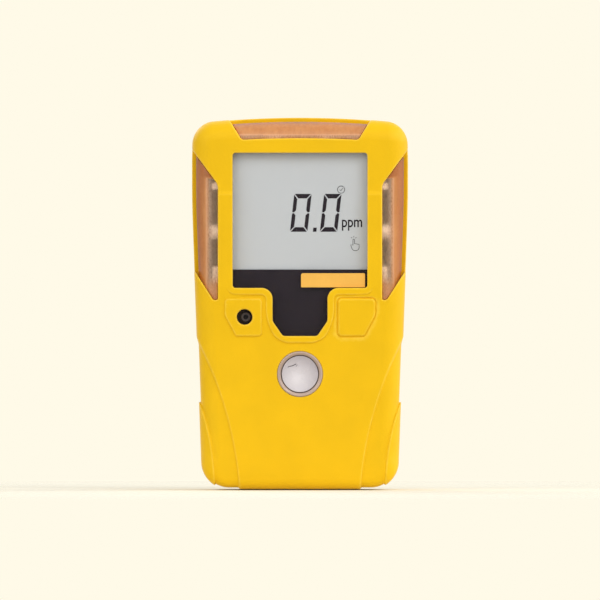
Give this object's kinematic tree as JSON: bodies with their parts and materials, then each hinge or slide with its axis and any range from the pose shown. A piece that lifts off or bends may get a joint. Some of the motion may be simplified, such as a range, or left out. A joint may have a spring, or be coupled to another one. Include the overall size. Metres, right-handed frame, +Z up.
{
  "type": "portable gas detector",
  "caption": "Clip-on gas detector with a display, amber alarm windows, a gas port, a push button and a sprung belt clip.",
  "frame": {"origin": "on the flat foot, on the middle plane, half way between the housing's front and back faces", "axes": "+Z up from the foot to the top, +X to the right seen from the front, -Y out of the display, +Y out of the belt clip"},
  "size_m": [0.053, 0.0327, 0.091],
  "materials": {
    "housing_yellow": "soft-touch matt",
    "dark_rubber": "matt",
    "grey_rubber": "matt",
    "dark_steel": "satin black oxide",
    "brass": "satin",
    "amber_lens": "frosted translucent",
    "clear_window": "polished clear plastic",
    "black_ink": "printed, satin",
    "orange_label": "satin",
    "lcd_glass": "satin grey",
    "white_plastic": "matt",
    "pink_rubber": "matt",
    "solder_mask": "satin",
    "bright_steel": "satin",
    "chip_plastic": "matt",
    "battery_sleeve": "shrink sleeve",
    "filter_fabric": "porous film",
    "ring_metal": "matt",
    "silver_label": "satin",
    "spring_steel": "satin"
  },
  "bodies": {
    "housing": {"front_cover": "housing_yellow", "rear_cover": "housing_yellow", "cover_gasket": "dark_rubber", "cover_screws": "dark_steel", "threaded_inserts": "brass", "alarm_lens_left": "amber_lens", "alarm_lens_right": "amber_lens", "alarm_lens_top": "amber_lens", "display_window": "clear_window", "window_mask": "black_ink", "gas_label": "orange_label", "lcd_panel": "lcd_glass", "lcd_frame": "white_plastic", "elastomer_connector": "pink_rubber", "circuit_board": "solder_mask", "board_screws": "bright_steel", "processor_chip": "chip_plastic", "alarm_leds": "white_plastic", "infrared_diodes": "chip_plastic", "sounder": "chip_plastic", "sounder_seal": "dark_rubber", "vibration_motor": "bright_steel", "battery": "battery_sleeve", "battery_tabs": "bright_steel", "battery_pad": "dark_rubber", "gas_sensor": "white_plastic", "sensor_pins": "brass", "sensor_sockets": "brass", "sensor_board": "solder_mask", "board_header": "chip_plastic", "sensor_seal": "dark_rubber", "gas_filter": "filter_fabric", "filter_ring": "ring_metal", "filter_gasket": "grey_rubber", "switch_body": "chip_plastic", "rating_label": "silver_label", "clip_bracket": "bright_steel", "clip_screws": "bright_steel", "clip_pin": "bright_steel", "clip_spring": "spring_steel"},
    "button": {"button_cap": "housing_yellow"},
    "plunger": {"switch_plunger": "white_plastic"},
    "weight": {"motor_weight": "bright_steel"},
    "lever": {"clip_lever": "bright_steel"}
  },
  "joints": [
    {"name": "button_press", "type": "slide", "parent": "housing", "child": "button", "axis": [0, 1, 0], "range_m": [0, 0.0004], "stiffness_N_per_m": 2000},
    {"name": "plunger_press", "type": "slide", "parent": "housing", "child": "plunger", "axis": [0, 1, 0], "range_m": [0, 0.0004]},
    {"name": "weight_spin", "type": "hinge", "parent": "housing", "child": "weight", "pos_m": [0.012, -0.0024, 0.0625], "axis": [0, 0, 1], "continuous": true},
    {"name": "lever_swing", "type": "hinge", "parent": "housing", "child": "lever", "pos_m": [0, 0.0168, 0.06], "axis": [1, 0, 0], "range_deg": [0, 24], "deforming": ["clip_spring"]}
  ],
  "couplings": [
    {"joint": "plunger_press", "follows": "button_press", "ratio": 1}
  ]
}
